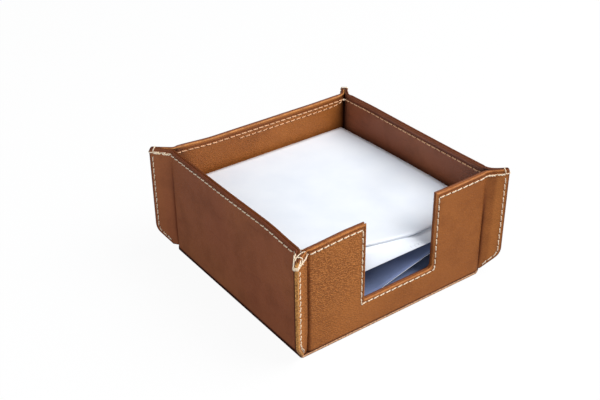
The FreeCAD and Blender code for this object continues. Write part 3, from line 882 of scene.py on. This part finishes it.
# --- Materials ---
class Nodes:
    """Builds the node tree of a material or a world."""

    def __init__(self, owner):
        owner.use_nodes = True
        self.owner = owner
        self.tree = owner.node_tree
        self.shader = self.tree.nodes.get("Principled BSDF")

    def add(self, kind, inputs=None, **settings):
        node = self.tree.nodes.new("ShaderNode" + kind)
        for key, value in settings.items():
            setattr(node, key, value)
        for key, value in (inputs or {}).items():
            self.put(node.inputs[key], value)
        return node

    def put(self, socket, value):
        if isinstance(value, bpy.types.NodeSocket):
            self.tree.links.new(value, socket)
        else:
            socket.default_value = value

    def finish(self, tone, rough, specular=0.5):
        """Sets the shader's colour, roughness and sheen, and gives the material."""
        self.put(self.shader.inputs["Base Color"], tone)
        self.put(self.shader.inputs["Roughness"], rough)
        self.put(self.shader.inputs["Specular IOR Level"], specular)
        return self.owner

    def math(self, operation, *values):
        node = self.add("Math", operation=operation)
        for socket, value in zip(node.inputs, values):
            self.put(socket, value)
        return node.outputs[0]

    def times(self, first, *others):
        for value in others:
            first = self.math("MULTIPLY", first, value)
        return first

    def mix(self, share, first, second):
        node = self.add("Mix", {"Factor": share, 6: first, 7: second}, data_type="RGBA")
        return node.outputs[2]

    def coats(self, base, *coats):
        """Lays coats over a colour, each a mask, its most and a colour."""
        for mask, most, tone in coats:
            base = self.mix(self.times(mask, most), base, tone)
        return base

    def ramp(self, value, low, high):
        """Maps low..high to 0..1."""
        return self.add("MapRange", {"From Min": low, "From Max": high, "Value": value}).outputs[0]

    def place(self, stretch=(1, 1, 1)):
        """Object coordinates, stretched."""
        coordinates = self.add("TexCoord").outputs["Object"]
        return self.add("Mapping", {"Vector": coordinates, "Scale": stretch}).outputs[0]

    def noise(self, scale, detail=3.0, rough=0.55, stretch=(1, 1, 1)):
        return self.add("TexNoise", {"Vector": self.place(stretch), "Scale": scale,
                                     "Detail": detail, "Roughness": rough}).outputs["Fac"]

    def wobble(self, scale, size):
        """A small random offset for texture coordinates."""
        cloud = self.add("TexNoise", {"Vector": self.place(), "Scale": scale, "Detail": 2.0})
        middle = self.add("VectorMath", {0: cloud.outputs["Color"], 1: (0.5, 0.5, 0.5)},
                          operation="SUBTRACT").outputs[0]
        return self.add("VectorMath", {0: middle, "Scale": size * 2}, operation="SCALE").outputs[0]

    def mask(self, name):
        return self.add("Attribute", attribute_name=name).outputs["Fac"]

    def bump(self, height, strength, distance):
        """Adds a bump to the shader, over the one that it has."""
        normal = self.shader.inputs["Normal"]
        inputs = {"Height": height, "Strength": strength, "Distance": distance}
        if normal.links:
            inputs["Normal"] = normal.links[0].from_socket
        self.put(normal, self.add("Bump", inputs).outputs[0])

    def seen(self):
        """1 for rays from the camera or through something clear, 0 for all others."""
        rays = self.add("LightPath").outputs
        return self.math("MAXIMUM", rays["Is Camera Ray"], rays["Is Transmission Ray"])

    def surface(self, share, first, second, output):
        """Shows the first shader, and the second one by its share."""
        mixed = self.add("MixShader", {0: share, 1: first.outputs[0], 2: second.outputs[0]})
        self.put(self.tree.nodes[output].inputs["Surface"], mixed.outputs[0])


def new_nodes(name):
    """The node tree of a new material."""
    return Nodes(bpy.data.materials.new(name))


def colours(*tones):
    """Display colours of 0 to 255 per channel, as linear ones."""
    values = np.array(tones) / 255
    linear = np.where(values <= 0.04045, values / 12.92, ((values + 0.055) / 1.055) ** 2.4)
    return [(*row, 1.0) for row in linear.tolist()]


def leather_material(name, tones, pebble, gloss, across=None, painted_corner_shade=0.0, lit_front_strip=False):
    """Full-grain leather: pebbled grain, mottled colour and darker edges, with painted shade in the
    creases, the pressed lines beside the stitches, the inner corners, at the foot and on the unlit
    raw edges, and painted light on the ears and on the lit raw edges.

    The grain fades towards the right of the place given as across.
    """
    main, warm, deep, edge, raw = colours(*tones)
    corner_shade_tone, ear_edge_shade_tone = colours(CORNER_SHADE_BROWN, EAR_EDGE_SHADE_BROWN)
    n = new_nodes(name)
    cloudy, fine = n.noise(95, 3), n.noise(2400, 3)
    base = n.coats(main, (n.ramp(n.noise(24, 4), 0.38, 0.66), 1.0 if across is None else 0.3, warm),
                   (n.ramp(cloudy, 0.45, 0.75), 0.4, deep))
    warped = n.add("VectorMath", {0: n.place((0.62, 0.62, 1.0)), 1: n.wobble(420, 0.35 * MM)},
                   operation="ADD").outputs[0]
    grain = n.add("TexVoronoi", {"Vector": warped, "Scale": 2150.0, "Smoothness": 0.7},
                  feature="SMOOTH_F1").outputs["Distance"]
    x, y, z = n.add("SeparateXYZ", {0: n.add("TexCoord").outputs["Object"]}).outputs
    inmost = n.math("MINIMUM", n.math("ABSOLUTE", x), n.math("ABSOLUTE", y))
    ear = n.ramp(inmost, 49.2 * MM, 50.4 * MM)
    strength = n.math("MULTIPLY_ADD", n.ramp(n.noise(30, 2), 0.36, 0.62), 0.6, 0.4)
    if across is not None:
        high = n.math("MULTIPLY_ADD", n.ramp(z, 2 * MM, 30 * MM), 0.6, 0.4)
        zone = n.times(n.ramp(x, across + 30 * MM, across - 10 * MM), high)
        strength = n.times(strength, n.math("ADD", zone, 0.35))
        base = n.coats(base, (zone, 0.75, warm))
    worn = n.times(n.ramp(grain, 0.25, 0.62), strength, pebble)
    # Painted shade: darker towards the inner corners, where the walls meet.
    corner_shade = n.math("POWER", n.ramp(inmost, 36.5 * MM, 46.8 * MM), 2.4)
    base = n.coats(
        # The ear coat is painted light: it makes the ears lighter, as they turn away from the key
        # light.
        base, (worn, 0.42, deep), (ear, 0.35, warm),
        (n.times(corner_shade, n.math("SUBTRACT", 1.0, ear)), painted_corner_shade, corner_shade_tone),
        # Painted shade at the foot, where the walls meet the base and the floor: the first coat on
        # the next line.
        (n.ramp(z, 2.3 * MM, 1.7 * MM), 0.85, deep), (n.ramp(fine, 0.55, 0.72), 0.25, warm),
        (n.ramp(n.noise(160, 5, 0.7, (0.25, 0.25, 1.6)), 0.6, 0.72), 0.3, deep),
        # Painted shade in the corner creases and in the pressed lines beside the stitches: the last
        # two coats.
        (n.mask("crease"), 0.85, deep), (n.mask("seam"), 0.8, deep))
    rubbed = n.ramp(n.noise(420, 3, stretch=(1, 1, 0.5)), 0.35, 0.7)
    # Painted shade: the cut edges on the ears darken by the share of the painted corner shade.
    edge_tone = n.coats(edge, (rubbed, 0.6, deep), (ear, painted_corner_shade, ear_edge_shade_tone))
    # Painted light and shade on the raw edges: the near ear's edge and the base's front strip are
    # painted lit, and the other raw edges are painted in shade.
    near = n.ramp(n.math("ADD", x, y), -90 * MM, -96 * MM)
    if lit_front_strip:
        near = n.times(n.ramp(y, -48.6 * MM, -49.6 * MM), n.ramp(x, -50.4 * MM, -49.4 * MM))
    shaded_edge_tone = n.coats(deep, (n.noise(500, 3), 0.4, edge_tone))
    raw_edge_light_and_shade = n.mix(near, shaded_edge_tone, n.mix(n.ramp(n.noise(1300, 4), 0.4, 0.75), raw, edge))
    base = n.coats(base, (n.mask("cut"), 0.85, edge_tone), (n.mask("ear_cut"), 0.9, raw_edge_light_and_shade))
    n.bump(n.math("SUBTRACT", n.times(fine, 0.3), worn), 0.75, 0.24 * MM)
    n.bump(n.noise(260, 4), 0.35, 0.25 * MM)
    rough = n.math("ADD", n.math("MULTIPLY_ADD", worn, 0.16, gloss), n.times(cloudy, 0.12))
    return n.finish(base, rough, 0.25)


def thread_material(name, *tones):
    """Waxed thread."""
    n = new_nodes(name)
    n.bump(n.noise(5200, 2, stretch=(1, 1, 0.4)), 0.5, 0.05 * MM)
    return n.finish(n.mix(n.ramp(n.noise(700, 3), 0.3, 0.7), *colours(*tones)), 0.5)


def hole_shade_material():
    """The inside of a needle hole, painted dark as its shade."""
    n = new_nodes("needle_hole")
    return n.finish(n.mix(n.noise(900, 2), *colours((46, 22, 10), (78, 40, 20))), 0.9, 0.1)


def paper_material(name, *tones):
    """Plain memo paper with a faint tooth and cut edges of another tone."""
    n = new_nodes(name)
    facing = n.add("SeparateXYZ", {0: n.add("NewGeometry").outputs["True Normal"]}).outputs["Z"]
    flat = n.ramp(n.math("ABSOLUTE", facing), 0.3, 0.6)
    n.bump(n.noise(3000, 4), 0.12, 0.03 * MM)
    light, dull, edge = colours(*tones)
    tone = n.mix(n.ramp(n.noise(60, 4), 0.35, 0.7), light, dull)
    return n.finish(n.mix(flat, edge, tone), 0.75, 0.25)


def board_material():
    """Grey-brown pasteboard."""
    n = new_nodes("pasteboard")
    n.bump(n.noise(1500, 4), 0.4, 0.1 * MM)
    mottle = n.ramp(n.noise(500, 5), 0.3, 0.7)
    return n.finish(n.mix(mottle, *colours((150, 128, 100), (118, 98, 74))), 0.85)


# --- Stage, light and camera ---
def stage():
    """A white floor that keeps the object's shadow, and a white world behind it."""
    size, low = 3.0, -0.02 * MM
    mesh = bpy.data.meshes.new("floor")
    mesh.from_pydata([(x * size, y * size, low) for x, y in SQUARE], [], [(0, 1, 2, 3)])
    n = new_nodes("studio_floor")
    seen = n.seen()
    mesh.materials.append(n.finish(n.mix(seen, FLOOR_BOUNCE, FLOOR_SEEN), 0.9, 0.0))
    glow = n.add("Emission", {"Color": WHITE, "Strength": 1.0})
    n.surface(n.times(seen, FLOOR_GLOW), n.shader, glow, "Material Output")
    link("floor", mesh)
    world = bpy.data.worlds.new("studio")
    bpy.context.scene.world = world
    n = Nodes(world)
    light = n.add("Background", {"Color": WORLD_TINT, "Strength": WORLD_LIGHT})
    white = n.add("Background", {"Color": WHITE, "Strength": 1.0})
    n.surface(n.seen(), light, white, "World Output")


def lamp(name, direction, distance, size, power, tint):
    """A square soft light that looks at the tray."""
    data = bpy.data.lights.new(name, "AREA")
    data.shape = "SQUARE"
    data.size = size
    data.energy = power
    data.color = tint
    piece = link(name, data)
    piece.location = Vector(direction).normalized() * distance
    piece.rotation_euler = (-piece.location).to_track_quat("-Z", "Y").to_euler()


def camera():
    """The photograph's view."""
    a, e, r = CAMERA_ANGLES
    back = Vector((sin(a) * cos(e), -cos(a) * cos(e), sin(e)))
    right = Vector((0, 0, 1)).cross(back).normalized()
    up = back.cross(right)
    axes = [cos(r) * right + sin(r) * up, cos(r) * up - sin(r) * right, back]
    place = sum((axis * size * MM for axis, size in zip(axes, CAMERA_PLACE)), Vector())
    data = bpy.data.cameras.new("camera")
    data.sensor_width = 36
    data.lens = CAMERA_LENS
    data.clip_start = 0.01
    piece = link("camera", data)
    piece.matrix_world = Matrix.Translation(place) @ Matrix(axes).transposed().to_4x4()
    bpy.context.scene.camera = piece


# --- Everything together ---
bpy.context.scene.view_settings.view_transform = "Standard"
camera()
stage()
lamp("key_light", (0.48, -0.42, 0.8), 1.3, 1.0, 20.5, (1.0, 0.985, 0.96))
lamp("left_light", (-0.85, -0.55, 0.4), 1.4, 0.9, 8.5, (0.95, 0.97, 1.0))

FRONT_LEATHER = leather_material("front_leather", FRONT_TONES, 1.0, 0.4, across=-12 * MM)
SIDE_LEATHER = leather_material("side_leather", SIDE_TONES, 0.3, 0.42)
LINING_LEATHER = leather_material("lining_leather", LINING_TONES, 0.6, 0.42, painted_corner_shade=0.95)
SHADED_LINING = leather_material("shaded_lining_leather", SHADED_LINING_TONES, 0.3, 0.42, painted_corner_shade=0.8)
NEAR_LINING = leather_material("near_lining_leather", NEAR_LINING_TONES, 0.5, 0.42)
BASE_LEATHER = leather_material("base_leather", BASE_TONES, 0.5, 0.45, lit_front_strip=True)
LININGS = dict(front=NEAR_LINING, left=NEAR_LINING, rear=LINING_LEATHER, right=SHADED_LINING)
NEW_THREAD = thread_material("cream_thread", (252, 236, 212), (238, 212, 176))
WORN_THREAD = thread_material("worn_thread", (240, 194, 152), (216, 160, 116))
HOLE_SHADE = hole_shade_material()
PAPER = paper_material("memo_paper", (240, 244, 250), (234, 239, 247), (236, 240, 247))
# Painted shade: the lower sheets are paper darkened and tinted blue, standing in for the deep blue
# shade under the upper sheets.
SHADE_PAINTED_PAPER = paper_material("shade_painted_memo_paper", (128, 143, 178), (116, 130, 168), (104, 118, 156))
# Painted shade on the curled sheet's faces, dark blue-grey. Its edges keep the paper's white and
# read as lit.
CURLED_SHADE_PAPER = paper_material(
    "curled_shade_painted_paper", (124, 139, 176), (112, 126, 166), (246, 248, 255))
BOARD = board_material()

for wall in WALLS:
    leather_piece(wall, "outer", FRONT_LEATHER if wall == "front" else SIDE_LEATHER)
    leather_piece(wall, "lining", LININGS[wall])
    board_piece(wall, BOARD)
    rim_stitches(wall, NEW_THREAD if wall in ("front", "left") else WORN_THREAD, HOLE_SHADE)
for name in CORNERS:
    ear_stitches(name, NEW_THREAD, HOLE_SHADE)
    tie(name, knotted_tie() if name == "front_left" else plain_tie(), NEW_THREAD)
base_piece(BASE_LEATHER)
for node, material in (("base_board", BOARD), ("base_lining", LINING_LEATHER)):
    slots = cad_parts[node].data.materials
    slots.clear()
    slots.append(material)

note_stack(SHADE_PAINTED_PAPER)
sheet_piece("curled_sheet", "curled_note", curled_height, -2.4, 0.32, CURLED_SHADE_PAPER)
sheet_piece("middle_sheet_lower", None, middle_height, -0.5, 0.12, PAPER, (0.3, 0.4), 0.003, 0.6)
sheet_piece("middle_sheet_upper", "middle_notes", middle_height, 0, 0.16, PAPER, (0, -1.6))
sheet_piece("upper_sheet_lower", None, upper_height, -0.45, 0.12, PAPER, (0.6, 0.9), -0.006, 1.6)
sheet_piece("upper_sheet_upper", "upper_notes", upper_height, 0, 0.14, PAPER, (0, 1.0), 0.004, 1.2)
sheet_piece("top_sheet", "top_note", upper_height, 0.4, 0.14, PAPER, (-0.2, 0.9), 0.0, 1.4,
            "top_note")
